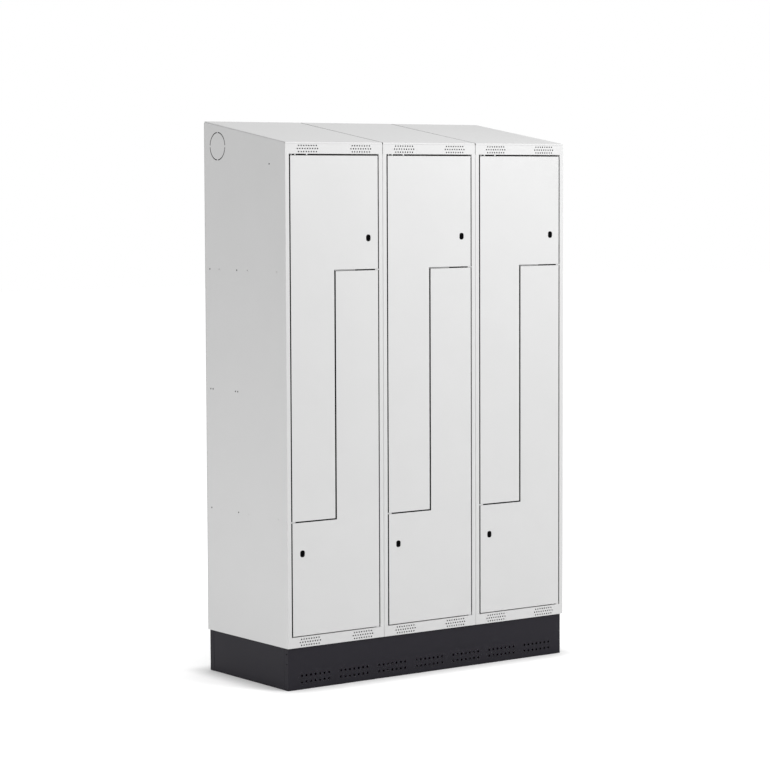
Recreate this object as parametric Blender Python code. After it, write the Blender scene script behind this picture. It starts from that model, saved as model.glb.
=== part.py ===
"""Sheet-steel Z locker: three joined modules on one plinth, under a sloping roof.

Each module has two L-shaped doors that interlock into a Z and turn on pivot pins.
Metres, +Z up, front towards -Y, origin on the floor under the middle of the body.
"""

import math

import bmesh
import bpy
from mathutils import Vector

# Whole locker
module_count = 3
module_pitch = 0.400
body_depth = 0.500
front_height = 1.840
roof_rise = 0.078
plinth_height = 0.145

# Sheet, folds and clearances
sheet = 0.0010
fold_radius = 0.0015
seat = 0.0003
module_gap = 0.0006
overrun = 0.004
crease = math.radians(50)
fold_steps = 2
screw_hole_sides = 6
vent_hole_sides = 4
pin_sides = 8
rail_sides = 10

# Side panel: front stile, rear flange, holes and vent knock-out
stile_width = 0.0165
stile_return = 0.020
rear_flange = 0.015
vent_radius = 0.0470
vent_slot = 0.0030
vent_tab = 0.006
vent_from_rear = 0.0855
vent_below_top = 0.0095
vent_arcs = 4
vent_arc_steps = 4
hole_radius = 0.0030
rivet_hole_radius = 0.0020
row_offset = 0.0045
row_rise = 0.003
hole_columns = (0.030, 0.2015)
pair_spacing = 0.0145
rivet_columns = (0.090, 0.267)
rivet_from_front = 0.053
hanging_hole_from_rear = 0.405
hanging_hole_below_top = 0.0726

# Roof tray
roof_side_inset = 0.0016
roof_edge = 0.006
roof_fold_radius = 0.003
roof_fold_steps = 3

# Perforated fascias
top_fascia_height = 0.040
bottom_fascia_height = 0.036
fascia_return = 0.020
vent_hole_radius = 0.0026
vent_hole_pitch = 0.0102
vent_row_counts = (8, 9, 8)
vent_group_offset = 0.109
top_vent_below_top = 0.0224
bottom_vent_rise = 0.0175

# Doors
side_gap = 0.004
top_gap = 0.005
bottom_gap = 0.003
split_gap = 0.004
block_height = 0.3835
door_depth = 0.018
door_lip = 0.010
skin_overhang = 0.003
pivot_inset = 0.0176
shelf_clearance = 0.002

# Lock opening and its cap
lock_width = 0.019
lock_height = 0.0235
lock_corner = 0.0078
lock_corner_steps = 2
lock_from_edge = 0.0404
lock_from_split = 0.1055
cap_recess = 0.0006
cap_rim = 0.003
cap_rim_thickness = 0.002
cap_body_depth = 0.010

# Pivot bracket with its pin
pin_radius = 0.004
pin_clearance = 0.0003
pin_reach = 0.010
bracket_sheet = 0.0020
bracket_nose = 0.0165
bracket_setback = 0.001
hidden_bracket_setback = 0.003
bracket_step_setback = 0.0045
bracket_beyond_pin = 0.008
bracket_tab_length = 0.034
bracket_tab_height = 0.026
bracket_tab_step = 0.004

# Z-folded partition
shelf_flange = 0.015
shelf_lip = 0.012
nose_start = -0.001
nose_end = 0.087
nose_thickness = 0.0020
nose_setback = 0.001

# Coat rails
rail_radius = 0.0075
rail_cup_radius = 0.014
rail_cup_length = 0.006
rail_below = 0.055
rail_behind_middle = 0.010
hook_pitch = 0.110
hook_radius = 0.011
hook_shank = 0.016
hook_bar = 0.0035
hook_width = 0.005
hook_steps = 4

# Plinth
plinth_side_inset = 0.006
plinth_front_inset = 0.008
plinth_rear_inset = 0.002
plinth_sheet = 0.0015
plinth_flange = 0.024
plinth_vent_radius = 0.0035
plinth_vent_pitch = 0.0185
plinth_vent_columns = 7
plinth_vent_groups = 7
plinth_group_pitch = 0.161
plinth_row_heights = (0.0255, 0.0470)
plinth_screw_radius = 0.0025
plinth_screw_from_front = 0.009
plinth_screws_below_top = (0.021, 0.055)

# Places that follow from the sizes above
body_width = module_pitch - module_gap
half_width = body_width / 2
front = -body_depth / 2
rear = body_depth / 2
body_bottom = plinth_height
wall = half_width - sheet
back_face = rear - sheet
inner_rear = back_face - seat - sheet - seat
zone_low = body_bottom + bottom_fascia_height + bottom_gap
zone_high = front_height - top_fascia_height - top_gap
low_split = zone_low + block_height + split_gap / 2
high_split = zone_high - block_height - split_gap / 2
zone_middle = (zone_low + zone_high) / 2
low_row = low_split + row_offset + row_rise
middle_row = zone_middle + row_rise
high_row = high_split - row_offset + row_rise
door_half = half_width - stile_width - side_gap
pivot_x = door_half - pivot_inset
pivot_depth = door_depth / 2
pivot_y = front + pivot_depth
partition_front = pivot_y + math.hypot(pivot_inset, pivot_depth) + shelf_clearance


def module_centre(index):
    return (index - (module_count - 1) / 2) * module_pitch


def turned_row(height, hand):
    """Height of a row of holes; on the right it is turned half round with the doors' Z."""
    return height if hand < 0 else zone_low + zone_high - height


def roof_top(y):
    """Height of the roof's outer face at depth y."""
    return front_height + roof_rise * (y - front) / body_depth


def paint(name, colour, roughness, metallic):
    """A plain principled material; colour is linear."""
    made = bpy.data.materials.new(name)
    made.use_nodes = True
    shader = made.node_tree.nodes["Principled BSDF"]
    shader.inputs["Base Color"].default_value = (*colour, 1)
    shader.inputs["Roughness"].default_value = roughness
    shader.inputs["Metallic"].default_value = metallic
    made.diffuse_color = (*colour, 1)
    return made


def finish(name, bm, material, location=(0, 0, 0), parent=None, rounded=False):
    """Turns a bmesh into a named object with its faces pointing out, shaded smooth where it is round."""
    bmesh.ops.recalc_face_normals(bm, faces=bm.faces)
    mesh = bpy.data.meshes.new(name)
    bm.to_mesh(mesh)
    bm.free()
    if rounded:
        mesh.shade_smooth()
        mesh.set_sharp_from_angle(angle=crease)
    obj = bpy.data.objects.new(name, mesh)
    bpy.context.collection.objects.link(obj)
    if material:
        mesh.materials.append(material)
    obj.location = location
    if parent:
        obj.parent = parent
        obj.location = Vector(location) - parent.location
    return obj


def helper(name, bm, parent, rounded):
    """A hidden shape that a Boolean reads, riding with its object."""
    obj = finish(name, bm, None, rounded=rounded)
    obj.parent = parent
    obj.hide_render = True
    obj.display_type = "WIRE"
    return obj


def boolean(obj, name, bm, operation, rounded=False):
    modifier = obj.modifiers.new(name, "BOOLEAN")
    modifier.solver = "EXACT"
    modifier.operation = operation
    modifier.object = helper(f"{obj.name}.{name}", bm, obj, rounded)


def loft(bm, rings):
    """Closed body through rings of equal length, capped at both ends."""
    loops = [[bm.verts.new(point) for point in ring] for ring in rings]
    for low, high in zip(loops, loops[1:]):
        for i, corner in enumerate(low):
            after = (i + 1) % len(low)
            bm.faces.new((corner, low[after], high[after], high[i]))
    bm.faces.new(loops[0])
    bm.faces.new(loops[-1])


def prism(bm, outline, low, high, along):
    """Outline pushed from low to high; along is the axis, 0 to 2, that it is pushed on."""

    def place(point, level):
        spot = list(point)
        spot.insert(along, level)
        return Vector(spot)

    loft(bm, [[place(p, low) for p in outline], [place(p, high) for p in outline]])


def box(bm, low, high):
    outline = [(low[0], low[1]), (high[0], low[1]), (high[0], high[1]), (low[0], high[1])]
    prism(bm, outline, low[2], high[2], 2)


def circle(centre, radius, sides):
    """Regular outline round a centre, with a corner to the right."""
    turns = [2 * math.pi * i / sides for i in range(sides)]
    return [(centre[0] + radius * math.cos(t), centre[1] + radius * math.sin(t)) for t in turns]


def rounded_rectangle(width, height, corner, steps):
    points = []
    for quarter in range(4):
        side_x = 1 if quarter in (0, 3) else -1
        side_z = 1 if quarter in (0, 1) else -1
        for step in range(steps + 1):
            turn = math.pi / 2 * (quarter + step / steps)
            x = side_x * (width / 2 - corner) + corner * math.cos(turn)
            z = side_z * (height / 2 - corner) + corner * math.sin(turn)
            points.append((x, z))
    return points


def inset(outline, distance):
    """Outline of square corners, given anticlockwise, moved inwards."""
    moved = []
    for i, (x, y) in enumerate(outline):
        before = outline[i - 1]
        after = outline[(i + 1) % len(outline)]
        normals = []
        for start, end in ((before, (x, y)), ((x, y), after)):
            run = Vector((end[0] - start[0], end[1] - start[1])).normalized()
            normals.append(Vector((-run.y, run.x)))
        step = (normals[0] + normals[1]) * distance
        moved.append((x + step.x, y + step.y))
    return moved


def folded(path, radius, thickness, steps):
    """Outline of a folded sheet whose middle runs along the path, with round folds."""
    points = [Vector(p) for p in path]
    middle = [(points[0], (points[1] - points[0]).normalized())]
    for before, corner, after in zip(points, points[1:], points[2:]):
        run_in = (corner - before).normalized()
        run_out = (after - corner).normalized()
        turn = run_in.angle_signed(run_out)
        reach = radius * math.tan(abs(turn) / 2)
        side = Vector((-run_in.y, run_in.x)) * (-1 if turn > 0 else 1)
        centre = corner - run_in * reach + side * radius
        for step in range(steps + 1):
            angle = -turn * step / steps
            swing = Vector(
                (
                    -side.x * math.cos(angle) + side.y * math.sin(angle),
                    -side.x * math.sin(angle) - side.y * math.cos(angle),
                )
            )
            heading = Vector(
                (
                    run_in.x * math.cos(angle) - run_in.y * math.sin(angle),
                    run_in.x * math.sin(angle) + run_in.y * math.cos(angle),
                )
            )
            middle.append((centre + swing * radius, heading))
    middle.append((points[-1], (points[-1] - points[-2]).normalized()))
    left = [p + Vector((-h.y, h.x)) * thickness / 2 for p, h in middle]
    right = [p - Vector((-h.y, h.x)) * thickness / 2 for p, h in middle]
    return [tuple(p) for p in left + right[::-1]]


def pan(bm, outline, depth, thickness, radius, steps, place):
    """Folded tray: a face and walls all round with a rounded fold."""
    rings = []
    for step in range(steps + 1):
        turn = math.pi / 2 * step / steps
        rings.append((radius * (1 - math.sin(turn)), radius * (1 - math.cos(turn))))
    rings += [(0, depth), (thickness, depth), (thickness, thickness)]
    loft(bm, [[place(u, v, level) for u, v in inset(outline, step)] for step, level in rings])


def hole_group(columns, pitch, centre):
    return [centre + (i - (columns - 1) / 2) * pitch for i in range(columns)]


def side_panel(name, hand, centre, colour, outer):
    """Upright sheet folded to the front stile and a rear flange; its top follows the roof."""
    half = sheet / 2
    side = hand * (half_width - half)
    stile = hand * (half_width - stile_width + half)
    flange = hand * (half_width - rear_flange)
    path = [
        (stile, front + stile_return),
        (stile, front + half),
        (side, front + half),
        (side, back_face - seat - half),
        (flange, back_face - seat - half),
    ]
    bm = bmesh.new()
    outline = folded(path, fold_radius, sheet, fold_steps)
    top = roof_edge + seat
    loft(
        bm,
        [
            [Vector((x, y, body_bottom)) for x, y in outline],
            [Vector((x, y, roof_top(y) - top)) for x, y in outline],
        ],
    )
    panel = finish(name, bm, colour, (centre, 0, 0))
    if outer:
        cutter = bmesh.new()
        low, high = sorted((hand * (wall - overrun), hand * (half_width + overrun)))
        outer_rows = (low_row, high_row)
        near, far = hole_columns
        spots = [(column, row) for column in hole_columns for row in outer_rows]
        spots += [(column, middle_row) for column in (near, near + pair_spacing, far - pair_spacing, far)]
        for column, row in spots:
            outline = circle((rear - column, turned_row(row, hand)), hole_radius, screw_hole_sides)
            prism(cutter, outline, low, high, 0)
        for column in (*rivet_columns, body_depth - rivet_from_front):
            for row in outer_rows:
                outline = circle((rear - column, turned_row(row, hand)), rivet_hole_radius, vent_hole_sides)
                prism(cutter, outline, low, high, 0)
        hanging = (rear - hanging_hole_from_rear, front_height - hanging_hole_below_top)
        prism(cutter, circle(hanging, hole_radius, screw_hole_sides), low, high, 0)
        vent = (rear - vent_from_rear, front_height - vent_below_top)
        for arc in range(vent_arcs):
            prism(cutter, arc_slot(vent, arc), low, high, 0)
        boolean(panel, "holes", cutter, "DIFFERENCE")


def arc_slot(centre, index):
    """One cut of the vent's knock-out ring, between two of its tabs."""
    span = 2 * math.pi / vent_arcs
    margin = vent_tab / vent_radius / 2
    start = span * index + margin
    turns = [start + (span - 2 * margin) * i / vent_arc_steps for i in range(vent_arc_steps + 1)]
    outer = vent_radius + vent_slot / 2
    inner = vent_radius - vent_slot / 2
    return [(centre[0] + outer * math.cos(t), centre[1] + outer * math.sin(t)) for t in turns] + [
        (centre[0] + inner * math.cos(t), centre[1] + inner * math.sin(t)) for t in turns[::-1]
    ]


def back_panel(name, centre, colour):
    bm = bmesh.new()
    top = roof_edge + seat
    outline = [
        (back_face, body_bottom),
        (rear, body_bottom),
        (rear, roof_top(rear) - top),
        (back_face, roof_top(back_face) - top),
    ]
    prism(bm, outline, -half_width, half_width, 0)
    finish(name, bm, colour, (centre, 0, 0))


def roof_tray(name, centre, colour):
    """Sloping tray whose short edges stand on the sides, the fascia and the back."""
    side = half_width - roof_side_inset
    outline = [(-side, front), (side, front), (side, rear), (-side, rear)]

    def place(x, y, level):
        return Vector((x, y, roof_top(y) - level))

    bm = bmesh.new()
    pan(bm, outline, roof_edge, sheet, roof_fold_radius, roof_fold_steps, place)
    finish(name, bm, colour, (centre, 0, 0))


def floor_sheet(name, centre, colour):
    bm = bmesh.new()
    side = wall - seat
    box(bm, (-side, front + stile_return + seat, body_bottom), (side, inner_rear, body_bottom + sheet))
    inner = half_width - stile_width - seat
    nose = bmesh.new()
    box(
        nose,
        (-inner, front + sheet + seat, body_bottom),
        (inner, front + stile_return + seat + overrun, body_bottom + sheet),
    )
    floor = finish(name, bm, colour, (centre, 0, 0))
    boolean(floor, "nose", nose, "UNION")


def fascia(name, centre, colour, edge, away, far_edge, vent_height, with_pin):
    """Perforated rail between the stiles, its edge beside the doors folded back."""
    half = sheet / 2
    path = [
        (front + fascia_return, edge + away * half),
        (front + half, edge + away * half),
        (front + half, far_edge),
    ]
    side = half_width - stile_width - seat
    bm = bmesh.new()
    prism(bm, folded(path, fold_radius, sheet, fold_steps), -side, side, 0)
    rail = finish(name, bm, colour, (centre, 0, 0))
    cutter = bmesh.new()
    for group in (-vent_group_offset, vent_group_offset):
        for row, columns in enumerate(vent_row_counts):
            z = vent_height + (row - (len(vent_row_counts) - 1) / 2) * vent_hole_pitch
            for x in hole_group(columns, vent_hole_pitch, group):
                outline = circle((x, z), vent_hole_radius, vent_hole_sides)
                prism(cutter, outline, front - overrun, front + sheet + overrun, 1)
    if with_pin:
        ring = circle((-pivot_x, pivot_y), pin_radius + pin_clearance, pin_sides)
        prism(cutter, ring, edge - overrun, edge + overrun, 2)
    boolean(rail, "perforation", cutter, "DIFFERENCE")


def partition(name, centre, colour, drilled):
    """One sheet folded into a Z, with stiffening lips, and drilled with the outer sides it lies on."""
    half = sheet / 2
    end = wall - seat - half
    path = [
        (end, high_split - shelf_flange),
        (end, high_split),
        (0, high_split),
        (0, low_split),
        (-end, low_split),
        (-end, low_split + shelf_flange),
    ]
    bm = bmesh.new()
    prism(bm, folded(path, fold_radius, sheet, fold_steps), partition_front, inner_rear, 1)
    sheet_z = finish(name, bm, colour, (centre, 0, 0))
    lip_back = partition_front + sheet
    lip_end = end - fold_radius - shelf_lip
    bm = bmesh.new()
    box(bm, (shelf_lip, partition_front, high_split - shelf_lip), (lip_end, lip_back, high_split))
    boolean(sheet_z, "high_lip", bm, "UNION")
    bm = bmesh.new()
    box(bm, (-lip_end, partition_front, low_split), (-shelf_lip, lip_back, low_split + shelf_lip))
    boolean(sheet_z, "low_lip", bm, "UNION")
    bm = bmesh.new()
    box(
        bm,
        (-half, partition_front, low_split + shelf_lip),
        (shelf_lip, lip_back, high_split - shelf_lip - fold_radius),
    )
    boolean(sheet_z, "upright_lip", bm, "UNION")
    bm = bmesh.new()
    box(
        bm,
        (nose_start, front + nose_setback, high_split - nose_thickness / 2),
        (nose_end, lip_back, high_split + nose_thickness / 2),
    )
    boolean(sheet_z, "nose", bm, "UNION")
    for hand in drilled:
        low, high = sorted((hand * (end - overrun), hand * (end + overrun)))
        cutter = bmesh.new()
        for column in hole_columns:
            outline = circle((rear - column, turned_row(low_row, hand)), hole_radius, screw_hole_sides)
            prism(cutter, outline, low, high, 0)
        boolean(sheet_z, "bolt_holes", cutter, "DIFFERENCE")


def door(name, cap_name, centre, colour, cap_colour, upper):
    """L-shaped skin on a folded frame set in from its edge; the lower door is the upper one turned round."""
    hand = -1 if upper else 1
    pivot = Vector((centre + hand * pivot_x, pivot_y, zone_middle))
    narrow_end = low_split + split_gap / 2
    block_end = high_split + split_gap / 2
    outline = [
        (-door_half, narrow_end),
        (-split_gap / 2, narrow_end),
        (-split_gap / 2, block_end),
        (door_half, block_end),
        (door_half, zone_high),
        (-door_half, zone_high),
    ]
    lock = (door_half - lock_from_edge, block_end + lock_from_split)
    pin_edges = (narrow_end, zone_high)

    def turned(x, z):
        """A point of the upper door's face, as seen from the pivot of this door."""
        spot = (x, z) if upper else (-x, zone_low + zone_high - z)
        return spot[0] - hand * pivot_x, spot[1] - zone_middle

    def place(x, z, level):
        u, v = turned(x, z)
        return Vector((u, level - pivot_depth, v))

    frame_inner = skin_overhang + sheet
    lip_end = skin_overhang + door_lip
    rings = (
        (0, 0),
        (0, sheet),
        (skin_overhang, sheet),
        (skin_overhang, door_depth),
        (lip_end, door_depth),
        (lip_end, door_depth - sheet),
        (frame_inner, door_depth - sheet),
        (frame_inner, sheet),
    )
    bm = bmesh.new()
    loft(bm, [[place(x, z, level) for x, z in inset(outline, step)] for step, level in rings])
    leaf = finish(name, bm, colour, pivot)
    lock_x, lock_z = turned(*lock)
    shape = rounded_rectangle(lock_width, lock_height, lock_corner, lock_corner_steps)
    opening = [(lock_x + x, lock_z + z) for x, z in shape]
    cutter = bmesh.new()
    prism(cutter, opening, -pivot_depth - overrun, -pivot_depth + overrun, 1)
    boolean(leaf, "lock_opening", cutter, "DIFFERENCE")
    cutter = bmesh.new()
    reach = frame_inner + overrun
    for edge in pin_edges:
        level = turned(0, edge)[1]
        ring = circle((0, 0), pin_radius + pin_clearance, pin_sides)
        prism(cutter, ring, level - reach, level + reach, 2)
    boolean(leaf, "pin_holes", cutter, "DIFFERENCE")

    def cap_outline(growth):
        size = (lock_width + 2 * growth, lock_height + 2 * growth, lock_corner + growth)
        return rounded_rectangle(*size, lock_corner_steps)

    plug = cap_outline(-seat)
    rim = cap_outline(cap_rim)
    rim_front = sheet + seat
    rim_back = rim_front + cap_rim_thickness
    layers = (
        (plug, cap_recess),
        (plug, rim_front),
        (rim, rim_front),
        (rim, rim_back),
        (plug, rim_back),
        (plug, cap_body_depth),
    )
    rings = []
    for ring, level in layers:
        rings.append([Vector((lock_x + x, level - pivot_depth, lock_z + z)) for x, z in ring])
    bm = bmesh.new()
    loft(bm, rings)
    finish(cap_name, bm, cap_colour, pivot, leaf, rounded=True)


def pivot_bracket(name, centre, colour, hand, pin_way, setback, plate_middle, door_edge):
    """Plate across a door's end with its pin, and a tab that lies on the side panel."""
    half = bracket_sheet / 2
    near_wall = wall - seat
    near_stile = half_width - stile_width - seat
    end = pivot_x - bracket_beyond_pin
    behind_stile = front + stile_return + seat
    plate_rear = partition_front - seat
    step = near_stile - bracket_nose
    plate = [
        (hand * near_stile, front + setback),
        (hand * step, front + setback),
        (hand * step, front + bracket_step_setback),
        (hand * end, front + bracket_step_setback),
        (hand * end, plate_rear),
        (hand * near_wall, plate_rear),
        (hand * near_wall, behind_stile),
        (hand * near_stile, behind_stile),
    ]
    bm = bmesh.new()
    prism(bm, plate, plate_middle - half, plate_middle + half, 2)
    bracket = finish(name, bm, colour, (centre, 0, 0))

    tab_far = plate_middle - pin_way * bracket_tab_height
    tab_step = plate_middle - pin_way * bracket_tab_step
    tab_near = plate_middle + pin_way * half
    tab_rear = behind_stile + bracket_tab_length
    tab = [
        (behind_stile, tab_near),
        (plate_rear, tab_near),
        (plate_rear, tab_step),
        (tab_rear, tab_step),
        (tab_rear, tab_far),
        (behind_stile, tab_far),
    ]
    bm = bmesh.new()
    prism(bm, tab, hand * (near_wall - bracket_sheet), hand * near_wall, 0)
    boolean(bracket, "tab", bm, "UNION")
    bm = bmesh.new()
    ring = circle((hand * pivot_x, pivot_y), pin_radius, pin_sides)
    prism(bm, ring, plate_middle - pin_way * half, door_edge + pin_way * pin_reach, 2)
    boolean(bracket, "pin", bm, "UNION", rounded=True)


def hook_outline(top):
    """J of flat bar hanging from the rail, in the plane across it."""
    bend = (-hook_radius, top - hook_shank)
    turns = [math.pi * i / hook_steps for i in range(hook_steps + 1)]
    outer = hook_radius + hook_bar / 2
    inner = hook_radius - hook_bar / 2
    points = [(bend[0] + outer, top)]
    points += [(bend[0] + outer * math.cos(t), bend[1] - outer * math.sin(t)) for t in turns]
    points += [(bend[0] + inner * math.cos(t), bend[1] - inner * math.sin(t)) for t in turns[::-1]]
    points.append((bend[0] + inner, top))
    return points


def coat_rail(name, centre, colour, low, high, height):
    """Round rail in two end cups, with hooks hanging below it."""
    depth = rail_behind_middle
    bm = bmesh.new()
    prism(bm, circle((depth, height), rail_radius, rail_sides), low, high, 0)
    rail = finish(name, bm, colour, (centre, 0, 0), rounded=True)
    for tag, start, end in (("cup_a", low, low + rail_cup_length), ("cup_b", high - rail_cup_length, high)):
        bm = bmesh.new()
        prism(bm, circle((depth, height), rail_cup_radius, rail_sides), start, end, 0)
        boolean(rail, tag, bm, "UNION", rounded=True)
    hooks = max(1, int((high - low) / hook_pitch))
    bm = bmesh.new()
    for x in hole_group(hooks, hook_pitch, (low + high) / 2):
        outline = [(depth - y, z) for y, z in hook_outline(height)]
        prism(bm, outline, x - hook_width / 2, x + hook_width / 2, 0)
    boolean(rail, "hooks", bm, "UNION", rounded=True)


def plinth_board(name, colour, outline, place):
    bm = bmesh.new()
    pan(bm, outline, plinth_flange, plinth_sheet, fold_radius, fold_steps, place)
    return finish(name, bm, colour)


def plinth(colour):
    """Four folded boards under the body; the front one is perforated and turns the corners."""
    half = half_width + module_centre(module_count - 1) - plinth_side_inset
    top = body_bottom - seat
    wide = [(-half, 0), (half, 0), (half, top), (-half, top)]
    front_face = front + plinth_front_inset
    rear_face = rear - plinth_rear_inset
    start = front_face + plinth_flange + seat
    end = rear_face - plinth_flange - seat
    deep = [(start, 0), (end, 0), (end, top), (start, top)]
    board = plinth_board("plinth_front", colour, wide, lambda u, v, w: Vector((u, front_face + w, v)))
    plinth_board("plinth_back", colour, wide, lambda u, v, w: Vector((u, rear_face - w, v)))
    plinth_board("plinth_left", colour, deep, lambda u, v, w: Vector((w - half, u, v)))
    plinth_board("plinth_right", colour, deep, lambda u, v, w: Vector((half - w, u, v)))

    cutter = bmesh.new()
    for group in hole_group(plinth_vent_groups, plinth_group_pitch, 0):
        for x in hole_group(plinth_vent_columns, plinth_vent_pitch, group):
            for z in plinth_row_heights:
                outline = circle((x, z), plinth_vent_radius, vent_hole_sides)
                prism(cutter, outline, front_face - overrun, front_face + plinth_sheet + overrun, 1)
    boolean(board, "perforation", cutter, "DIFFERENCE")
    cutter = bmesh.new()
    for below in plinth_screws_below_top:
        spot = (front_face + plinth_screw_from_front, plinth_height - below)
        for side in (-1, 1):
            low, high = sorted((side * (half - plinth_sheet - overrun), side * (half + overrun)))
            prism(cutter, circle(spot, plinth_screw_radius, screw_hole_sides), low, high, 0)
    boolean(board, "screw_holes", cutter, "DIFFERENCE")


def module(number, paints):
    centre = module_centre(number - 1)
    outer_ends = [hand for hand, last in ((-1, 1), (1, module_count)) if number == last]
    side_panel(f"left_side_{number}", -1, centre, paints["side"], -1 in outer_ends)
    side_panel(f"right_side_{number}", 1, centre, paints["side"], 1 in outer_ends)
    back_panel(f"back_{number}", centre, paints["back"])
    roof_tray(f"roof_{number}", centre, paints["roof"])
    floor_sheet(f"floor_{number}", centre, paints["floor"])
    fascia_top = front_height - roof_edge - seat
    top_edge = front_height - top_fascia_height
    low_edge = body_bottom + bottom_fascia_height
    vent_top = front_height - top_vent_below_top
    vent_low = body_bottom + bottom_vent_rise
    fascia(f"top_fascia_{number}", centre, paints["fascia"], top_edge, 1, fascia_top, vent_top, True)
    fascia(f"bottom_fascia_{number}", centre, paints["fascia"], low_edge, -1, body_bottom, vent_low, False)
    partition(f"z_partition_{number}", centre, paints["partition"], outer_ends)

    door(f"upper_door_{number}", f"upper_lock_cap_{number}", centre, paints["door"], paints["cap"], True)
    door(f"lower_door_{number}", f"lower_lock_cap_{number}", centre, paints["door"], paints["cap"], False)
    plate_top = top_edge + sheet + seat + bracket_sheet / 2
    plate_low = low_edge + seat + bracket_sheet / 2
    half_gap = split_gap / 2
    seen, hidden = bracket_setback, hidden_bracket_setback
    pivots = (
        ("upper_door_top_pivot", -1, -1, hidden, plate_top, zone_high),
        ("upper_door_bottom_pivot", -1, 1, seen, low_split, low_split + half_gap),
        ("lower_door_top_pivot", 1, -1, seen, high_split, high_split - half_gap),
        ("lower_door_bottom_pivot", 1, 1, seen, plate_low, zone_low),
    )
    for name, *places in pivots:
        pivot_bracket(f"{name}_{number}", centre, paints["pivot"], *places)

    end = wall - seat
    upper_height = front_height - rail_below
    lower_height = high_split - rail_below
    coat_rail(f"upper_coat_rail_{number}", centre, paints["rail"], -end, end, upper_height)
    coat_rail(f"lower_coat_rail_{number}", centre, paints["rail"], sheet / 2 + seat, end, lower_height)


def build():
    for obj in list(bpy.data.objects):
        bpy.data.objects.remove(obj, do_unlink=True)
    light_grey = (0.62, 0.62, 0.61)
    paints = {
        "side": paint("side_powder_coat", light_grey, 0.45, 0.0),
        "back": paint("back_powder_coat", light_grey, 0.50, 0.0),
        "roof": paint("roof_powder_coat", light_grey, 0.45, 0.0),
        "floor": paint("floor_powder_coat", light_grey, 0.50, 0.0),
        "fascia": paint("fascia_powder_coat", light_grey, 0.45, 0.0),
        "partition": paint("partition_powder_coat", light_grey, 0.50, 0.0),
        "door": paint("door_powder_coat", (0.68, 0.68, 0.67), 0.42, 0.0),
        "cap": paint("lock_cap_plastic", (0.01, 0.01, 0.01), 0.35, 0.0),
        "pivot": paint("pivot_zinc", (0.70, 0.70, 0.70), 0.35, 1.0),
        "rail": paint("rail_steel", (0.75, 0.75, 0.76), 0.25, 1.0),
        "plinth": paint("plinth_powder_coat", (0.035, 0.034, 0.042), 0.50, 0.0),
    }
    for number in range(1, module_count + 1):
        module(number, paints)
    plinth(paints["plinth"])


build()
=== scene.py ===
"""Looks of the sheet-steel Z locker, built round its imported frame.

Metres, +Z up, front towards -Y. The sections follow the locker as it is put together.
"""

import math

import bmesh
import bpy
from mathutils import Matrix, Vector


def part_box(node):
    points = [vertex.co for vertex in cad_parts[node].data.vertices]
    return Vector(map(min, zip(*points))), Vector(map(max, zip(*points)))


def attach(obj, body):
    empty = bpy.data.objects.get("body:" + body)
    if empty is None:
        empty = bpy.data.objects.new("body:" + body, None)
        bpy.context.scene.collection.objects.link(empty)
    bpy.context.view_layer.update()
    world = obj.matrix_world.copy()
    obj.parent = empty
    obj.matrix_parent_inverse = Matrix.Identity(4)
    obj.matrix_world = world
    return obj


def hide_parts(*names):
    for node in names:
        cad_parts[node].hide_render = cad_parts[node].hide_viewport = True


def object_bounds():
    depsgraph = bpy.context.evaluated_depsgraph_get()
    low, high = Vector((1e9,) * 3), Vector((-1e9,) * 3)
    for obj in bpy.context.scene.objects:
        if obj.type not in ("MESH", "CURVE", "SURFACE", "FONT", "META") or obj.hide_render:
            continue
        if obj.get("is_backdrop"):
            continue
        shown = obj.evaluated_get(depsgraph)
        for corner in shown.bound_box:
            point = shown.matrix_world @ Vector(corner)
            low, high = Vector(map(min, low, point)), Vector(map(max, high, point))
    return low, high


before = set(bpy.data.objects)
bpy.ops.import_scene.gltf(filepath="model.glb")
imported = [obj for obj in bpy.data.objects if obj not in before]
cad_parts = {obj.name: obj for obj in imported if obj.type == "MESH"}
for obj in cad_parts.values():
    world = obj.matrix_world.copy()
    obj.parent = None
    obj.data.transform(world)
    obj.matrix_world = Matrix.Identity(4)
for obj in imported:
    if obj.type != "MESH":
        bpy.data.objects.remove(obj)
cad_low, cad_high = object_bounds()

# Side panels
# Each module stands between two sides of 1 mm sheet steel, powder coated light grey. A side is folded to a
# stile with a return behind it and to a flange for the back, and it runs up beside the roof's edge. The
# two outer ones have holes for bolting to a neighbour, and a knock-out for a vent pipe.

modules = (1, 2, 3)
sheet = 0.001
fold_radius = 0.0015
fold_segments = 4
edge_segments = 2
crease = math.radians(40)
overrun = 0.004
stile_return = 0.020
rear_flange = 0.015
roof_rise = 0.078
roof_slope = roof_rise / (cad_high.y - cad_low.y)
wall_rise = 0.0026
wall_rise_from = 0.003
hole_radius = 0.0030
rivet_hole_radius = 0.0020
hole_sides = 16
upper_row = 1.408
middle_row = 0.9925
lower_row = 0.577
turn_height = 0.9895
hole_columns = (0.030, 0.2015)
paired_columns = (0.030, 0.0445, 0.187, 0.2015)
rivet_columns = (0.090, 0.267, 0.447)
hanging_hole = (0.405, 1.7674)
vent_centre = (0.0855, 1.8305)
vent_radius = 0.0470
vent_slot = 0.0034
vent_arcs = 4
vent_tab = 0.006
vent_arc_steps = 12
light_grey = "#BFBFBF"
coat_roughness = 0.42
coat_specular = 0.5
film_patch = 0.15
film_swing = 0.02
peel_size = 0.0030
peel_height = 0.00002
roughness_swing = 0.03


def linear(code, share=1.0):
    """Linear colour of an sRGB hex value, lightened or darkened by a share."""
    channels = [int(code[i : i + 2], 16) / 255 for i in (1, 3, 5)]
    bent = [c / 12.92 if c <= 0.04045 else ((c + 0.055) / 1.055) ** 2.4 for c in channels]
    return [c * share for c in bent] + [1]


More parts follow.
